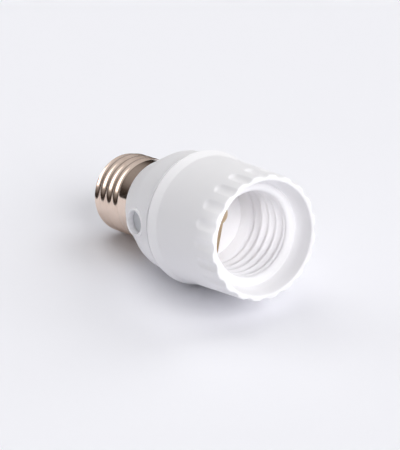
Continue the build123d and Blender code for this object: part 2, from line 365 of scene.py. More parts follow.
class Finish(Enum):
    """Finishes of the adapter's pieces."""

    # White moulded ABS: a clean, nearly even white with a broad soft highlight.
    WHITE_ABS = MouldedPlastic("white_abs_moulded", "#FAF9FB", "#F7F6F9")
    # Nickel plate on drawn sheet: warm grey that mirrors the room in sharp bands.
    NICKEL = DrawnMetal("nickel_plate_drawn", "#E6D3C5", "#DAC5B5", roughness=0.13)
    # Stamped brass, a little dulled: pale gold with a blurred shine.
    BRASS = DrawnMetal("brass_sheet_stamped", "#E6CFAE", "#CDB088", roughness=0.35)
    # Smoked window plastic: a cool grey disc with a small highlight.
    WINDOW = CoatedPart("sensor_window_smoked", "#D6D8DC", "#D0D2D6", roughness=0.25, speck_mm=0.3)
    # Coated ceramic of a light cell: dull orange brown.
    CELL = CoatedPart("photocell_ceramic", "#C07848", "#D9A27C")
    # Tinned wire: bright, slightly hazy silver.
    TINNED_WIRE = DrawnMetal("wire_tinned", "#C9CACC", "#A9AAAC", roughness=0.3)
    # Lacquered circuit board: green with lighter flecks of glass cloth.
    LAMINATE = CoatedPart("board_laminate", "#35603C", "#487A4E")
    # Bare drawn aluminium: pale grey with a hazy shine.
    CAN = DrawnMetal("aluminium_can_drawn", "#C8CACC", "#B4B6B8", roughness=0.3)
    # Moulded capacitor box: plain warm yellow.
    FILM_BOX = CoatedPart("film_capacitor_yellow", "#C79F2B", "#D8B34A")
    # Moulded black resin: matt black with a faint grey grain.
    BLACK_RESIN = CoatedPart("resin_black_moulded", "#161616", "#242424", roughness=0.5)
    # Resistor lacquer: beige with a soft sheen.
    RESISTOR = CoatedPart("resistor_lacquer", "#BFA67E", "#D2BC98")
    # Fuse lacquer: brown with a soft sheen.
    FUSE_BODY = CoatedPart("fuse_lacquer", "#7B5338", "#94694B")
    # Red wire insulation: deep red with a narrow shine.
    RED_WIRE = CoatedPart("wire_red_insulated", "#9E1B18", "#B02A26", roughness=0.35)
    # Black wire insulation: black with a narrow shine.
    BLACK_WIRE = CoatedPart("wire_black_insulated", "#141414", "#222222", roughness=0.35)

    def dress(self, piece: bpy.types.Object) -> None:
        """Gives a piece this finish, made once and shared.

        Args:
            piece: Object to be dressed.
        """
        material = bpy.data.materials.get(self.value.name) or self.value.material()
        piece.data.materials.clear()
        piece.data.materials.append(material)


def dress_node(node: str, finish: Finish) -> None:
    """Gives a solid of the frame its finish and reports it.

    Args:
        node: Name of the solid.
        finish: Finish that it gets.
    """
    finish.dress(frame["nodes"][node])
    log.info("%s keeps its solid, in %s", node, finish.value.name)


class Join(Enum):
    """Ways of joining two pieces."""

    ADD = "UNION"
    CUT = "DIFFERENCE"


@dataclass(frozen=True)
class Corner:
    """Corner of a turned outline: its radius, its height and how far it is rounded."""

    radius: float
    height: float
    rounding: float = 0.0

    def point(self) -> Vector:
        """Place of the corner in the plane of the outline."""
        return Vector((self.radius, 0.0, self.height)) * MM


def rod_outline(radius: float, low: float, high: float) -> list[Corner]:
    """Half section of a plain rod between two heights."""
    return [Corner(0.0, low), Corner(radius, low), Corner(radius, high), Corner(0.0, high)]


@dataclass
class Lathe:
    """Turns a piece upright about the Z axis, presses shapes into it and lays it in its place."""

    columns: int
    arc_step_deg: float = 11.0
    press_core: float = 0.1
    same_place: float = 0.0005
    smooth_angle_deg: float = 28.0

    def start(self, name: str) -> bpy.types.Object:
        """Adds a small plane and gathers it to the one point that an outline grows from.

        Args:
            name: Name of the piece.

        Returns:
            The new piece, in edit mode.
        """
        bpy.ops.object.select_all(action="DESELECT")
        bpy.ops.mesh.primitive_plane_add(size=MM)
        piece = bpy.context.object
        piece.name = name
        piece.data.name = name
        bpy.ops.object.mode_set(mode="EDIT")
        bpy.ops.mesh.select_mode(type="VERT")
        bpy.ops.mesh.select_all(action="SELECT")
        bpy.ops.mesh.merge(type="CENTER")
        return piece

    def pick(self, piece: bpy.types.Object, places: Sequence[Vector]) -> None:
        """Selects the points of an outline that lie at the given places.

        Args:
            piece: Piece in edit mode.
            places: Places to be selected.
        """
        bpy.ops.mesh.select_all(action="DESELECT")
        mesh = bmesh.from_edit_mesh(piece.data)
        for point in mesh.verts:
            point.select_set(any((point.co - place).length < self.same_place * MM for place in places))
        mesh.select_flush_mode()
        bmesh.update_edit_mesh(piece.data)

    def trace(self, piece: bpy.types.Object, corners: Sequence[Corner], closed: bool) -> None:
        """Draws an outline from corner to corner and rounds its corners.

        Args:
            piece: Piece in edit mode, with one point at the origin.
            corners: Corners in order.
            closed: Whether the last corner joins the first.
        """
        bpy.ops.transform.translate(value=corners[0].point())
        for here, there in zip(corners, corners[1:]):
            bpy.ops.mesh.extrude_region_move(TRANSFORM_OT_translate={"value": there.point() - here.point()})
        if closed:
            self.pick(piece, [corners[0].point(), corners[-1].point()])
            bpy.ops.mesh.edge_face_add()
        count = len(corners)
        for index, corner in enumerate(corners):
            if corner.rounding == 0.0:
                continue
            before = corner.point() - corners[index - 1].point()
            after = corners[(index + 1) % count].point() - corner.point()
            turn = before.angle(after)
            self.pick(piece, [corner.point()])
            bpy.ops.mesh.bevel(
                offset=corner.rounding * MM * math.tan(turn / 2),
                segments=max(2, round(math.degrees(turn) / self.arc_step_deg)),
                profile=0.5,
                affect="VERTICES",
            )

    def divide(self, piece: bpy.types.Object, spacing: Callable[[float, float], float]) -> None:
        """Halves the edges of an outline until none is longer than wanted there.

        Args:
            piece: Piece in edit mode.
            spacing: Longest edge wanted at a radius and height.
        """
        bpy.ops.mesh.select_mode(type="EDGE")
        while True:
            bpy.ops.mesh.select_all(action="DESELECT")
            mesh = bmesh.from_edit_mesh(piece.data)
            found = False
            for edge in mesh.edges:
                middle = (edge.verts[0].co + edge.verts[1].co) / (2 * MM)
                if edge.calc_length() > spacing(middle.x, middle.z) * MM:
                    edge.select_set(True)
                    found = True
            bmesh.update_edit_mesh(piece.data)
            if not found:
                break
            bpy.ops.mesh.subdivide(number_cuts=1)
        bpy.ops.mesh.select_mode(type="VERT")

    def spin(self) -> None:
        """Spins the outline once round the axis, closes the seam and turns the faces outwards."""
        bpy.ops.mesh.select_all(action="SELECT")
        bpy.ops.mesh.spin(
            steps=self.columns, angle=2 * math.pi, use_auto_merge=True, center=(0, 0, 0), axis=(0, 0, 1)
        )
        bpy.ops.mesh.select_all(action="SELECT")
        bpy.ops.mesh.remove_doubles(threshold=self.same_place * MM)
        bpy.ops.mesh.normals_make_consistent(inside=False)
        bpy.ops.object.mode_set(mode="OBJECT")

    def turned(
        self,
        name: str,
        corners: Sequence[Corner],
        spacing: Callable[[float, float], float],
        closed: bool = True,
    ) -> bpy.types.Object:
        """Turns a piece from its outline.

        Args:
            name: Name of the piece.
            corners: Outline in radius and height.
            spacing: Longest edge wanted at a radius and height.
            closed: Whether the outline is a ring that stands off the axis.

        Returns:
            The turned piece, upright.
        """
        piece = self.start(name)
        self.trace(piece, corners, closed)
        self.divide(piece, spacing)
        self.spin()
        return piece

    def press(
        self, piece: bpy.types.Object, depth: Callable[[float, float, float], float], outwards: bool = False
    ) -> None:
        """Presses the surface of a turned piece towards its axis or away from it.

        Args:
            piece: Turned piece.
            depth: Depth at a radius, an angle in radians and a height.
            outwards: Whether the press goes away from the axis.
        """
        shares = []
        for point in piece.data.vertices:
            radius = math.hypot(point.co.x, point.co.y) / MM
            wanted = depth(radius, math.atan2(point.co.y, point.co.x), point.co.z / MM)
            shares.append(wanted / (radius - self.press_core) if wanted > 0 else 0.0)
        most = max(shares)
        group = piece.vertex_groups.new(name="press")
        for index, share in enumerate(shares):
            if share > 0:
                group.add([index], share / most, "REPLACE")
        tool = piece.modifiers.new("press", "CAST")
        tool.cast_type = "CYLINDER"
        tool.use_z = False
        tool.factor = -most if outwards else most
        tool.radius = 0.0
        tool.use_radius_as_size = False
        tool.size = self.press_core * MM
        tool.vertex_group = group.name
        bpy.context.view_layer.objects.active = piece
        bpy.ops.object.modifier_apply(modifier=tool.name)
        piece.vertex_groups.clear()

    def join(self, piece: bpy.types.Object, other: bpy.types.Object, way: Join) -> None:
        """Adds another piece to a piece or cuts it out, and uses it up.

        Args:
            piece: Piece that stays.
            other: Piece that is used up.
            way: How they are joined.
        """
        tool = piece.modifiers.new("join", "BOOLEAN")
        tool.operation = way.value
        tool.solver = "EXACT"
        tool.object = other
        bpy.ops.object.select_all(action="DESELECT")
        bpy.context.view_layer.objects.active = piece
        bpy.ops.object.modifier_apply(modifier=tool.name)
        bpy.data.objects.remove(other, do_unlink=True)

    def move(self, piece: bpy.types.Object, matrix: Matrix) -> None:
        """Moves a piece and puts its new place into its mesh.

        Args:
            piece: Piece at the origin.
            matrix: Where it goes.
        """
        bpy.ops.object.select_all(action="DESELECT")
        piece.select_set(True)
        bpy.context.view_layer.objects.active = piece
        piece.matrix_world = matrix
        bpy.ops.object.transform_apply(location=True, rotation=True, scale=True)

    def place(self, piece: bpy.types.Object, finish: Finish, slot: str, *nodes: str) -> None:
        """Lays a finished piece where its solids lie, in their stead.

        Args:
            piece: Upright piece.
            finish: Finish that it gets.
            slot: Material slot of the record; not used.
            nodes: Solids that it stands for.
        """
        self.move(piece, REST)
        bpy.ops.object.shade_smooth_by_angle(angle=math.radians(self.smooth_angle_deg))
        finish.dress(piece)
        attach(piece, BODY)
        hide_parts(*nodes)
        faces = len(piece.data.polygons)
        log.info("%s stands for %s, %d faces, in %s", piece.name, nodes, faces, finish.value.name)


@dataclass
class ScrewBase:
    """Rolled screw shell and end contact that go into the lamp holder."""

    columns: int = 360
    crest_r: float = 13.03
    thread_depth: float = 0.9
    thread_pitch: float = 3.62
    first_crest: float = -19.0
    length: float = 20.6
    bore_r: float = 11.8
    sheet: float = 0.35
    lip_r: float = 10.8
    rear_round: float = 1.6
    front_round: float = 0.12
    plain_from: float = -7.4
    plain_full: float = -5.9
    inside_margin: float = 0.1
    thread_edge: float = 0.2
    plain_edge: float = 2.0

    def outline(self) -> list[Corner]:
        """Section of the shell before the thread is rolled."""
        return [
            Corner(self.lip_r, -self.length),
            Corner(self.crest_r, -self.length, self.rear_round),
            Corner(self.crest_r, 0.0, self.front_round),
            Corner(self.bore_r, 0.0),
            Corner(self.bore_r, self.sheet - self.length),
            Corner(self.lip_r, self.sheet - self.length),
        ]

    def spacing(self, radius: float, height: float) -> float:
        """Longest edge wanted, finest where the thread is rolled."""
        rolled = radius > self.bore_r + self.inside_margin and height < self.plain_full
        return self.thread_edge if rolled else self.plain_edge

    def thread_groove(self, radius: float, angle: float, height: float) -> float:
        """Depth of the rolled thread's rounded groove.

        Args:
            radius: Radius of the point.
            angle: Angle of the point in radians.
            height: Height of the point.

        Returns:
            The depth towards the axis.
        """
        if radius < self.bore_r + self.inside_margin:
            return 0.0
        turn = (height - self.first_crest) / self.thread_pitch - angle / (2 * math.pi)
        groove = 0.5 - 0.5 * math.cos(2 * math.pi * turn)
        runs = 1 - smooth_step(self.plain_from, self.plain_full, height)
        lost = self.crest_r - radius
        return max(0.0, self.thread_depth * groove * runs - lost)

    def build(self) -> None:
        """Turns the shell, rolls its thread and dresses it and the contact."""
        lathe = Lathe(self.columns)
        shell = lathe.turned("screw_base_shell", self.outline(), self.spacing)
        lathe.press(shell, self.thread_groove)
        lathe.place(shell, Finish.NICKEL, "nickel", "screw_shell")
        dress_node("base_contact", Finish.NICKEL)


@dataclass
class LowerHousing:
    """Cup that carries the screw shell on its neck and the sensor eye in its side."""

    columns: int = 288
    stem_hole_r: float = 1.55
    nose_end: float = -23.8
    nose_floor: float = -21.8
    seat_r: float = 5.0
    seat_round: float = 0.3
    nose_r: float = 10.75
    nose_round: float = 0.4
    shell_end: float = -20.6
    lip_top: float = -20.25
    neck_r: float = 11.75
    neck_bore_r: float = 10.15
    back_r: float = 14.2
    back_round: float = 0.5
    shoulder_r: float = 19.25
    shoulder: float = 11.5
    shoulder_round: float = 4.2
    waist_r: float = 20.25
    waist: float = 20.85
    bead_foot_r: float = 20.98
    bead_foot: float = 21.35
    bead_foot_round: float = 0.2
    bead_r: float = 21.1
    bead: float = 21.95
    bead_round: float = 0.08
    rim_r: float = 20.5
    rim: float = 22.0
    rim_inner_r: float = 18.9
    seat: float = 19.9
    inner_shoulder_r: float = 17.45
    inner_back_r: float = 12.4
    inner_back: float = 1.8
    eye_angle_deg: float = 263.7
    eye_height: float = 13.5
    eye_reach: float = 19.95
    eye_r: float = 4.5
    eye_bore_r: float = 3.7
    eye_throat_r: float = 2.9
    eye_ledge: float = -3.3
    eye_length: float = 5.2
    eye_round: float = 0.3
    eye_bore_round: float = 0.25
    eye_columns: int = 96
    cup_edge: float = 2.5
    ring_edge: float = 1.5
    plug_edge: float = 4.0

    def outline(self) -> list[Corner]:
        """Section of the cup, from the contact's hole up the outside and back down the inside.

        Returns:
            The corners in order.
        """
        return [
            Corner(self.stem_hole_r, self.nose_end),
            Corner(self.seat_r, self.nose_end, self.seat_round),
            Corner(self.nose_r, self.shell_end, self.nose_round),
            Corner(self.nose_r, self.lip_top),
            Corner(self.neck_r, self.lip_top),
            Corner(self.neck_r, 0.0),
            Corner(self.back_r, 0.0, self.back_round),
            Corner(self.shoulder_r, self.shoulder, self.shoulder_round),
            Corner(self.waist_r, self.waist),
            Corner(self.bead_foot_r, self.bead_foot, self.bead_foot_round),
            Corner(self.bead_r, self.bead, self.bead_round),
            Corner(self.rim_r, self.rim),
            Corner(self.rim_inner_r, self.rim),
            Corner(self.rim_inner_r, self.seat),
            Corner(self.inner_shoulder_r, self.shoulder, self.shoulder_round),
            Corner(self.inner_back_r, self.inner_back),
            Corner(self.neck_bore_r, self.inner_back),
            Corner(self.neck_bore_r, self.nose_floor),
            Corner(self.stem_hole_r, self.nose_floor),
        ]

    def eye_outline(self) -> list[Corner]:
        """Section of the eye's ring about its own axis, with its face at height zero."""
        return [
            Corner(self.eye_throat_r, -self.eye_length),
            Corner(self.eye_r, -self.eye_length),
            Corner(self.eye_r, 0.0, self.eye_round),
            Corner(self.eye_bore_r, 0.0, self.eye_bore_round),
            Corner(self.eye_bore_r, self.eye_ledge),
            Corner(self.eye_throat_r, self.eye_ledge),
        ]

    def eye_matrix(self) -> Matrix:
        """Turns the eye's own axis out through the cup's side.

        Returns:
            The matrix from the eye's own frame to the upright adapter.
        """
        turn = math.radians(self.eye_angle_deg)
        out = Vector((math.cos(turn), math.sin(turn), 0.0))
        along = Vector((-math.sin(turn), math.cos(turn), 0.0))
        up = Vector((0.0, 0.0, 1.0))
        face = (out * self.eye_reach + up * self.eye_height) * MM
        return Matrix.Translation(face) @ Matrix((along, up, out)).transposed().to_4x4()

    def build(self) -> None:
        """Turns the cup, lets the eye's ring into its side and dresses it."""
        lathe = Lathe(self.columns)
        cup = lathe.turned("lower_housing", self.outline(), lambda radius, height: self.cup_edge)
        eye_lathe = Lathe(self.eye_columns)
        plug_outline = rod_outline(
            (self.eye_r + self.eye_bore_r) / 2, -self.eye_length - self.inner_back, self.eye_length
        )
        plug = eye_lathe.turned("eye_plug", plug_outline, lambda radius, height: self.plug_edge, closed=False)
        ring = eye_lathe.turned("eye_ring", self.eye_outline(), lambda radius, height: self.ring_edge)
        for piece in (plug, ring):
            eye_lathe.move(piece, self.eye_matrix())
        lathe.join(cup, plug, Join.CUT)
        lathe.join(cup, ring, Join.ADD)
        lathe.place(cup, Finish.WHITE_ABS, "white_plastic", "lower_cup")


@dataclass
class SensorEye:
    """Window in the side of the cup, with the light cell behind it."""

    def build(self) -> None:
        """Dresses the window, the cell and its legs."""
        dress_node("sensor_window", Finish.WINDOW)
        dress_node("photocell", Finish.CELL)
        dress_node("photocell_leads", Finish.TINNED_WIRE)


@dataclass
class BoardAssembly:
    """Circuit board with its parts and the two leads, closed in by the housing."""

    def build(self) -> None:
        """Dresses the board, its parts and the leads."""
        dress_node("circuit_board", Finish.LAMINATE)
        dress_node("electrolytic_capacitor", Finish.CAN)
        dress_node("film_capacitor", Finish.FILM_BOX)
        for node in ("triac", "transistor", "bridge_rectifier"):
            dress_node(node, Finish.BLACK_RESIN)
        dress_node("resistors", Finish.RESISTOR)
        dress_node("fuse", Finish.FUSE_BODY)
        dress_node("live_lead", Finish.RED_WIRE)
        dress_node("shell_lead", Finish.BLACK_WIRE)


@dataclass
class UpperHousing:
    """One-piece upper housing: collar, band, skirt with a fluted mouth, lip and threaded socket tube."""

    columns: int = 400
    spigot_r: float = 18.817
    spigot_bore_r: float = 17.217
    spigot_end: float = 20.0
    spigot_round: float = 0.3
    groove_r: float = 20.5
    groove_foot: float = 22.05
    groove_top: float = 22.85
    collar_foot_r: float = 21.29
    collar_foot: float = 22.9
    collar_r: float = 21.34
    collar: float = 23.08
    band_r: float = 20.25
    band_front: float = 26.2
    band_round: float = 0.8
    mouth_r: float = 19.5
    mouth_inner_r: float = 17.75
    mouth: float = 54.6
    rim_round: float = 0.5
    wall_foot_r: float = 16.95
    wall_foot: float = 50.6
    wall_round: float = 5.0
    gutter_r: float = 15.95
    gutter: float = 47.9
    gutter_round: float = 0.5
    lip_r: float = 15.5
    lip: float = 48.7
    lip_round: float = 0.7
    bore_r: float = 13.3
    bore_round: float = 1.5
    bore_foot: float = 28.6
    well: float = 26.0
    well_r: float = 12.5
    tube_end: float = 23.0
    tube_r: float = 15.0
    web: float = 45.8
    skirt_inner_high_r: float = 17.78
    skirt_inner_low_r: float = 18.4
    flute_count: int = 20
    flute_first_deg: float = 10.7
    flute_start: float = 47.4
    flute_start_depth: float = 0.6
    flute_mouth_depth: float = 0.68
    flute_cutter_r: float = 3.0
    flute_soft: float = 0.12
    thread_pitch: float = 3.62
    thread_depth: float = 1.0
    thread_from: float = 28.4
    thread_full: float = 29.6
    thread_fades: float = 46.4
    thread_gone: float = 47.4
    bore_margin: float = 0.05
    flute_margin: float = 2.5
    flute_edge: float = 0.35
    thread_margin: float = 0.5
    thread_edge: float = 0.25
    plain_edge: float = 3.0

    def outline(self) -> list[Corner]:
        """Section of the housing, from the spigot up the outside, over the mouth and down the socket.

        Returns:
            The corners in order.
        """
        return [
            Corner(self.spigot_bore_r, self.spigot_end),
            Corner(self.spigot_r, self.spigot_end, self.spigot_round),
            Corner(self.spigot_r, self.groove_foot),
            Corner(self.groove_r, self.groove_foot),
            Corner(self.groove_r, self.groove_top),
            Corner(self.collar_foot_r, self.collar_foot),
            Corner(self.collar_r, self.collar),
            Corner(self.band_r, self.band_front, self.band_round),
            Corner(self.mouth_r, self.mouth, self.rim_round),
            Corner(self.mouth_inner_r, self.mouth, self.rim_round),
            Corner(self.wall_foot_r, self.wall_foot, self.wall_round),
            Corner(self.gutter_r, self.gutter, self.gutter_round),
            Corner(self.lip_r, self.lip, self.lip_round),
            Corner(self.bore_r, self.lip, self.bore_round),
            Corner(self.bore_r, self.bore_foot),
            Corner(self.well_r, self.well),
            Corner(self.well_r, self.tube_end),
            Corner(self.tube_r, self.tube_end),
            Corner(self.tube_r, self.web),
            Corner(self.skirt_inner_high_r, self.web),
            Corner(self.skirt_inner_low_r, self.band_front),
            Corner(self.spigot_bore_r, self.groove_foot),
        ]

    def spacing(self, radius: float, height: float) -> float:
        """Longest edge wanted, finest on the flutes and on the socket's thread.

        Args:
            radius: Radius of the edge's middle.
            height: Height of the edge's middle.

        Returns:
            The longest edge.
        """
        if radius > self.mouth_inner_r and height > self.flute_start - self.flute_margin:
            return self.flute_edge
        if abs(radius - self.bore_r) < self.thread_margin and height > self.bore_foot:
            return self.thread_edge
        return self.plain_edge

    def skirt_r(self, height: float) -> float:
        """Outer radius of the skirt at a height."""
        share = (height - self.band_front) / (self.mouth - self.band_front)
        return self.band_r + share * (self.mouth_r - self.band_r)

    def flute_depth(self, radius: float, angle: float, height: float) -> float:
        """Depth that the round-nosed flutes cut into the skirt.

        Args:
            radius: Radius of the point.
            angle: Angle of the point in radians.
            height: Height of the point.

        Returns:
            The depth towards the axis.
        """
        if height < self.flute_start - self.flute_cutter_r or radius < self.mouth_inner_r:
            return 0.0
        step = 2 * math.pi / self.flute_count
        off = (angle - math.radians(self.flute_first_deg) + step / 2) % step - step / 2
        share = max(0.0, (height - self.flute_start) / (self.mouth - self.flute_start))
        start_r = self.skirt_r(self.flute_start) - self.flute_start_depth + self.flute_cutter_r
        mouth_r = self.mouth_r - self.flute_mouth_depth + self.flute_cutter_r
        centre = start_r + share * (mouth_r - start_r)
        nose = max(0.0, self.flute_start - height)
        reach = self.flute_cutter_r**2 - nose**2 - (centre * math.sin(off)) ** 2
        if reach < 0:
            return 0.0
        cut = self.skirt_r(height) - (centre * math.cos(off) - math.sqrt(reach))
        soft = (cut + math.hypot(cut, self.flute_soft)) / 2
        inner_r = self.mouth_inner_r + self.rim_round
        return soft * min(1.0, max(0.0, (radius - inner_r) / (self.mouth_r - inner_r)))

    def thread_groove(self, radius: float, angle: float, height: float) -> float:
        """Depth of the moulded thread groove in the socket's wall.

        Args:
            radius: Radius of the point.
            angle: Angle of the point in radians.
            height: Height of the point.

        Returns:
            The depth away from the axis.
        """
        if abs(radius - self.bore_r) > self.bore_margin:
            return 0.0
        turn = height / self.thread_pitch - angle / (2 * math.pi)
        groove = 0.5 + 0.5 * math.cos(2 * math.pi * turn)
        runs_in = smooth_step(self.thread_from, self.thread_full, height)
        runs_out = smooth_step(self.thread_fades, self.thread_gone, height)
        return self.thread_depth * groove * runs_in * (1 - runs_out)

    def build(self) -> None:
        """Turns the housing, cuts its flutes and its thread and dresses it."""
        lathe = Lathe(self.columns)
        piece = lathe.turned("upper_housing", self.outline(), self.spacing)
        lathe.press(piece, self.flute_depth)
        lathe.press(piece, self.thread_groove, outwards=True)
        lathe.place(piece, Finish.WHITE_ABS, "white_plastic", "upper_shell")


@dataclass
class LampSocket:
    """Floor of the socket with the two brass contacts that meet the lamp."""

    leaf_angle_deg: float = 343.7
    leaf_width: float = 3.8
    leaf_strips: int = 8
    leaf_bend: float = 1.0
    sheet: float = 0.4
    edge_round: float = 0.08
    edge_segments: int = 2
    edge_angle_deg: float = 50.0
    foot_inner: float = 5.0
    heel: float = 11.2
    floor: float = 25.3
    shoulder: float = 29.0
    head: float = 30.0
    head_r: float = 3.3
    head_past: float = 2.4
    head_tip: float = 0.3
    dome_rings: tuple[float, ...] = (2.6, 2.1, 1.6, 1.1, 0.6)
    dome_step: float = 0.06
    head_zone: float = 0.5
    same_row: float = 0.01
    head_edge: float = 0.4
    arm_edge: float = 2.0
    hole_edge: float = 4.0
    rivet_reach: float = 7.7
    rivet_hole_r: float = 0.95
    rivet_columns: int = 48

    def leaf_path(self) -> list[Corner]:
        """Side view of the leaf: its foot, heel, rising arm and head."""
        half = self.sheet / 2
        return [
            Corner(self.foot_inner, self.floor + half),
            Corner(self.heel, self.floor + half, self.leaf_bend),
            Corner(self.heel, self.shoulder + half, self.leaf_bend),
            Corner(self.head_r - self.head_past, self.head + half),
            Corner(-self.head_r - self.head_past, self.head + half),
        ]

    def leaf_spacing(self, reach: float, height: float) -> float:
        """Longest edge wanted, finest along the round head."""
        in_head = reach < self.head_r - self.head_past and height > self.shoulder
        return self.head_edge if in_head else self.arm_edge

    def pick_points(self, leaf: bpy.types.Object, wanted: Callable[[Vector], bool]) -> None:
        """Selects the points of the leaf that answer a question about their place.

        Args:
            leaf: Leaf in edit mode.
            wanted: Question about a place in millimetres.
        """
        mesh = bmesh.from_edit_mesh(leaf.data)
        for point in mesh.verts:
            point.select_set(wanted(point.co / MM))
        mesh.select_flush_mode()
        bmesh.update_edit_mesh(leaf.data)

    def round_head(self, leaf: bpy.types.Object) -> None:
        """Draws each row across the head in or out to a circle and presses a shallow dome into it.

        Args:
            leaf: Leaf in edit mode.
        """
        middle = -self.head_past
        arm = self.leaf_width / 2
        mesh = bmesh.from_edit_mesh(leaf.data)
        low = self.shoulder + self.head_zone
        rows = {round(point.co.x / MM, 3) for point in mesh.verts if point.co.z / MM > low}
        for reach in rows:
            off = reach - middle
            half = math.sqrt(max(self.head_r**2 - off**2, self.head_tip**2))
            if off > self.head_r:
                continue
            wanted = max(half, arm) if off > 0 else half
            self.pick_points(
                leaf, lambda place: abs(place.x - reach) < self.same_row and place.z > self.shoulder
            )
            centre = Vector((reach, 0.0, self.head)) * MM
            bpy.ops.transform.resize(value=(1.0, wanted / arm, 1.0), center_override=centre)
        for ring_r in self.dome_rings:
            self.pick_points(
                leaf,
                lambda place: math.hypot(place.x - middle, place.y) < ring_r and place.z > self.shoulder,
            )
            bpy.ops.transform.translate(value=(0.0, 0.0, self.dome_step * MM))

    def build_leaf(self) -> None:
        """Folds the leaf from a strip, shapes its head, gives it its sheet and sets it on its rivet."""
        bench = Lathe(self.rivet_columns)
        leaf = bench.start("centre_leaf")
        bench.trace(leaf, self.leaf_path(), closed=False)
        bench.divide(leaf, self.leaf_spacing)
        bpy.ops.mesh.select_all(action="SELECT")
        bpy.ops.transform.translate(value=(0.0, -self.leaf_width / 2 * MM, 0.0))
        for _ in range(self.leaf_strips):
            across = (0.0, self.leaf_width / self.leaf_strips * MM, 0.0)
            bpy.ops.mesh.extrude_region_move(TRANSFORM_OT_translate={"value": across})
        self.round_head(leaf)
        bpy.ops.mesh.select_all(action="SELECT")
        bpy.ops.mesh.normals_make_consistent(inside=False)
        bpy.ops.object.mode_set(mode="OBJECT")
        sheet = leaf.modifiers.new("sheet", "SOLIDIFY")
        sheet.thickness = self.sheet * MM
        sheet.offset = 0.0
        bpy.ops.object.modifier_apply(modifier=sheet.name)
        hole_outline = rod_outline(self.rivet_hole_r, self.floor - self.sheet, self.floor + 2 * self.sheet)
        hole = bench.turned("rivet_hole", hole_outline, lambda radius, height: self.hole_edge, closed=False)
        bench.move(hole, Matrix.Translation(Vector((self.rivet_reach, 0.0, 0.0)) * MM))
        bench.join(leaf, hole, Join.CUT)
        edge = leaf.modifiers.new("edge", "BEVEL")
        edge.width = self.edge_round * MM
        edge.segments = self.edge_segments
        edge.limit_method = "ANGLE"
        edge.angle_limit = math.radians(self.edge_angle_deg)
        bpy.context.view_layer.objects.active = leaf
        bpy.ops.object.modifier_apply(modifier=edge.name)
        bench.move(leaf, Matrix.Rotation(math.radians(self.leaf_angle_deg), 4, "Z"))
        bench.place(leaf, Finish.BRASS, "brass", "centre_contact")

    def build(self) -> None:
        """Folds the leaf and dresses the carrier, the side contact and the rivets."""
        self.build_leaf()
        dress_node("contact_carrier", Finish.WHITE_ABS)
        for node in ("side_contact", "centre_rivet", "side_rivet"):
            dress_node(node, Finish.BRASS)


@dataclass(frozen=True)
class SoftLight:
    """Large light far off, with a bearing from the mouth's side and an elevation."""

    name: str
    strength: float
    bearing_deg: float
    elevation_deg: float
    softness_deg: float = 40.0


@dataclass(frozen=True)
class Snoot:
    """Narrow light that reaches only into the mouth."""

    name: str
    watts: float
    bearing_deg: float
    elevation_deg: float
    patch_r: float
    aim: tuple[float, float, float]
    blend: float = 0.3
    distance: float = 700.0
    radius: float = 8.0


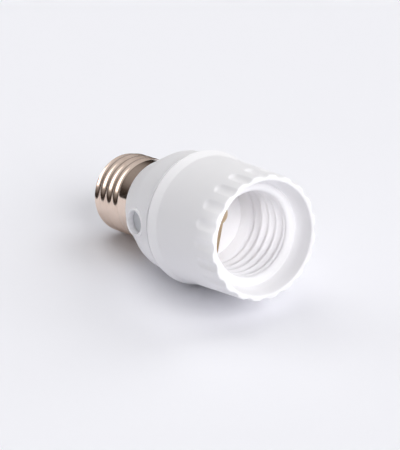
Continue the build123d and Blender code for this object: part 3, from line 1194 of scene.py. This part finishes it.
@dataclass
class Studio:
    """Pale floor, soft light and a camera where the photographer stood."""

    floor_size: float = 3000.0
    floor_colour: str = "#F4F4F9"
    image_width: float = 400.0
    image_height: float = 450.0
    sensor_mm: float = 36.0
    focal_px: float = 2400.0
    azimuth_deg: float = 53.897
    elevation_deg: float = 28.058
    distance: float = 750.29
    target: tuple[float, float, float] = (3.685, 0.364, 17.121)
    clip_start_m: float = 0.01
    clip_end_m: float = 20.0
    paper_roughness: float = 0.9
    paper_specular: float = 0.1
    sky_colour: str = "#FFFFFF"
    sky_light: float = 0.1
    backdrop_colour: str = "#F0F0F6"
    room_tones: tuple[tuple[float, str], ...] = (
        (0.0, "#26231F"),
        (0.15, "#463F3B"),
        (0.34, "#938F8D"),
        (0.6, "#BCBBBB"),
        (1.0, "#E0E0E2"),
    )
    softbox_x: tuple[float, float] = (0.1, 0.46)
    softbox_y: tuple[float, float] = (-0.95, 0.0)
    softbox_z: tuple[float, float] = (0.48, 1.2)
    softbox_edge: float = 0.1
    softbox_glow: float = 2.7
    softbox_colour: str = "#FFFAF4"
    card_r: float = 300.0
    card_height: float = 26.0
    card_columns: int = 96
    card_colour: str = "#2A2725"
    lights: tuple[SoftLight, ...] = (
        SoftLight("key", 1.74, 0.0, 36.0),
        SoftLight("right", 0.62, 45.0, 15.0),
        SoftLight("far_side", 0.87, 90.0, 40.0),
        SoftLight("back", 0.75, 180.0, 65.0),
        SoftLight("near_side", 0.2, -90.0, 40.0),
        SoftLight("left_back", 0.38, -150.0, 30.0),
    )
    snoots: tuple[Snoot, ...] = (
        Snoot("camera_snoot", 6.8, -36.1, 28.0, patch_r=9.5, aim=(0.5, 1.5, 42.0)),
        Snoot("side_snoot", 10.0, -58.0, 18.0, patch_r=6.0, aim=(1.0, 12.5, 41.0)),
    )

    def towards_camera(self) -> Vector:
        """Direction from the object to the camera."""
        turn, rise = math.radians(self.azimuth_deg), math.radians(self.elevation_deg)
        return Vector((math.sin(turn) * math.cos(rise), -math.cos(turn) * math.cos(rise), math.sin(rise)))

    def build_camera(self) -> None:
        """Puts the camera where the photograph was taken."""
        data = bpy.data.cameras.new("photo_camera")
        data.sensor_width = self.sensor_mm
        data.lens = self.focal_px * self.sensor_mm / max(self.image_width, self.image_height)
        data.clip_start = self.clip_start_m
        data.clip_end = self.clip_end_m
        camera = bpy.data.objects.new("photo_camera", data)
        bpy.context.scene.collection.objects.link(camera)
        back = self.towards_camera()
        camera.location = Vector(self.target) * MM + back * self.distance * MM
        camera.rotation_mode = "QUATERNION"
        camera.rotation_quaternion = (-back).to_track_quat("-Z", "Y")
        bpy.context.scene.camera = camera

    def build_floor(self) -> None:
        """Lays the floor at height zero."""
        bpy.ops.object.select_all(action="DESELECT")
        bpy.ops.mesh.primitive_plane_add(size=self.floor_size * MM)
        floor = bpy.context.object
        floor.name = "floor"
        material, tree = new_material("paper_floor")
        surface(
            tree,
            {
                "Base Color": linear(self.floor_colour),
                "Roughness": self.paper_roughness,
                "Specular IOR Level": self.paper_specular,
            },
        )
        floor.data.materials.append(material)

    def build_card(self) -> None:
        """Stands a low dark card round the adapter, which only shiny pieces mirror."""
        lathe = Lathe(self.card_columns)
        outline = [Corner(self.card_r, 0.0), Corner(self.card_r, self.card_height)]
        card = lathe.turned("dark_card", outline, lambda radius, height: self.card_height, closed=False)
        material, tree = new_material("card_black")
        surface(tree, {"Base Color": linear(self.card_colour), "Roughness": self.paper_roughness})
        card.data.materials.append(material)
        card.visible_camera = False
        card.visible_diffuse = False
        card.visible_shadow = False

    def softbox(self, tree: bpy.types.NodeTree, axes: bpy.types.NodeOutputs) -> bpy.types.NodeSocket:
        """Draws the bright softbox that the metal mirrors.

        Args:
            tree: Node tree of the world.
            axes: Direction split into its three parts.

        Returns:
            The glow in each direction.
        """
        glow: bpy.types.NodeSocket | None = None
        for axis, (low, high) in zip("XYZ", (self.softbox_x, self.softbox_y, self.softbox_z)):
            for edge, inwards in ((low, self.softbox_edge), (high, -self.softbox_edge)):
                part = add_node(
                    tree,
                    "ShaderNodeMapRange",
                    options={"interpolation_type": "SMOOTHSTEP"},
                    values={"From Min": edge - inwards, "From Max": edge + inwards},
                    links={"Value": axes[axis]},
                ).outputs["Result"]
                if glow is not None:
                    part = add_node(
                        tree, "ShaderNodeMath", options={"operation": "MULTIPLY"}, links={0: glow, 1: part}
                    ).outputs["Value"]
                glow = part
        return add_node(
            tree,
            "ShaderNodeMath",
            options={"operation": "MULTIPLY"},
            values={1: self.softbox_glow},
            links={0: glow},
        ).outputs["Value"]

    def build_sky(self) -> None:
        """Sets a pale backdrop, a faint sky for the light, and the dim room that shiny pieces mirror."""
        world = bpy.data.worlds.new("studio")
        bpy.context.scene.world = world
        world.use_nodes = True
        tree = world.node_tree
        tree.nodes.clear()
        way = add_node(tree, "ShaderNodeTexCoord").outputs["Generated"]
        sky = add_node(
            tree,
            "ShaderNodeBackground",
            values={"Color": linear(self.sky_colour), "Strength": self.sky_light},
        )
        backdrop = add_node(tree, "ShaderNodeBackground", values={"Color": linear(self.backdrop_colour)})
        axes = add_node(tree, "ShaderNodeSeparateXYZ", links={"Vector": way}).outputs
        ramp = add_node(tree, "ShaderNodeValToRGB", links={"Fac": axes["Z"]})
        bands = ramp.color_ramp.elements
        for place, colour in self.room_tones:
            band = bands.new(place) if 0.0 < place < 1.0 else bands[-1 if place else 0]
            band.color = linear(colour)
        room = add_node(tree, "ShaderNodeBackground", links={"Color": ramp.outputs["Color"]})
        box = add_node(
            tree,
            "ShaderNodeBackground",
            values={"Color": linear(self.softbox_colour)},
            links={"Strength": self.softbox(tree, axes)},
        )
        mirrored = add_node(
            tree, "ShaderNodeAddShader", links={0: room.outputs["Background"], 1: box.outputs["Background"]}
        )
        ray = add_node(tree, "ShaderNodeLightPath").outputs
        lit = add_node(
            tree,
            "ShaderNodeMixShader",
            links={0: ray["Is Glossy Ray"], 1: sky.outputs["Background"], 2: mirrored.outputs["Shader"]},
        )
        seen = add_node(
            tree,
            "ShaderNodeMixShader",
            links={0: ray["Is Camera Ray"], 1: lit.outputs["Shader"], 2: backdrop.outputs["Background"]},
        )
        add_node(tree, "ShaderNodeOutputWorld", links={"Surface": seen.outputs["Shader"]})

    def towards(self, bearing_deg: float, elevation_deg: float) -> Vector:
        """Direction with a bearing from the mouth's side and an elevation."""
        bearing, rise = math.radians(bearing_deg), math.radians(elevation_deg)
        level = math.cos(rise)
        return Vector((math.cos(bearing) * level, math.sin(bearing) * level, math.sin(rise)))

    def hang_light(self, data: bpy.types.Light, source: Vector, place: Vector) -> None:
        """Hangs a light that shines against a direction.

        Args:
            data: The light.
            source: Direction from the object to the light.
            place: Where the light hangs, in metres.
        """
        light = bpy.data.objects.new(data.name, data)
        light.visible_glossy = False
        light.location = place
        light.rotation_mode = "QUATERNION"
        light.rotation_quaternion = source.to_track_quat("Z", "Y")
        bpy.context.scene.collection.objects.link(light)

    def build_lights(self) -> None:
        """Sets the large soft lights."""
        for light in self.lights:
            data = bpy.data.lights.new(light.name, "SUN")
            data.energy = light.strength
            data.angle = math.radians(light.softness_deg)
            self.hang_light(data, self.towards(light.bearing_deg, light.elevation_deg), Vector())

    def build_snoots(self) -> None:
        """Sets the narrow lights that reach into the mouth."""
        for snoot in self.snoots:
            data = bpy.data.lights.new(snoot.name, "SPOT")
            data.energy = snoot.watts
            data.shadow_soft_size = snoot.radius * MM
            data.spot_size = 2 * math.atan(snoot.patch_r / snoot.distance)
            data.spot_blend = snoot.blend
            source = self.towards(snoot.bearing_deg, snoot.elevation_deg)
            aim = REST @ (Vector(snoot.aim) * MM)
            self.hang_light(data, source, aim + source * snoot.distance * MM)

    def build(self) -> None:
        """Sets up the whole studio."""
        bpy.context.scene.view_settings.view_transform = "Standard"
        self.build_floor()
        self.build_sky()
        self.build_card()
        self.build_lights()
        self.build_snoots()
        self.build_camera()


def main() -> None:
    """Builds the sub-assemblies in order."""
    logging.basicConfig(level=logging.INFO, format="%(message)s")
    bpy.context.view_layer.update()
    for assembly in (ScrewBase(), LowerHousing(), SensorEye(), BoardAssembly(), UpperHousing(), LampSocket()):
        assembly.build()
    Studio().build()


if __name__ == "__main__":
    main()
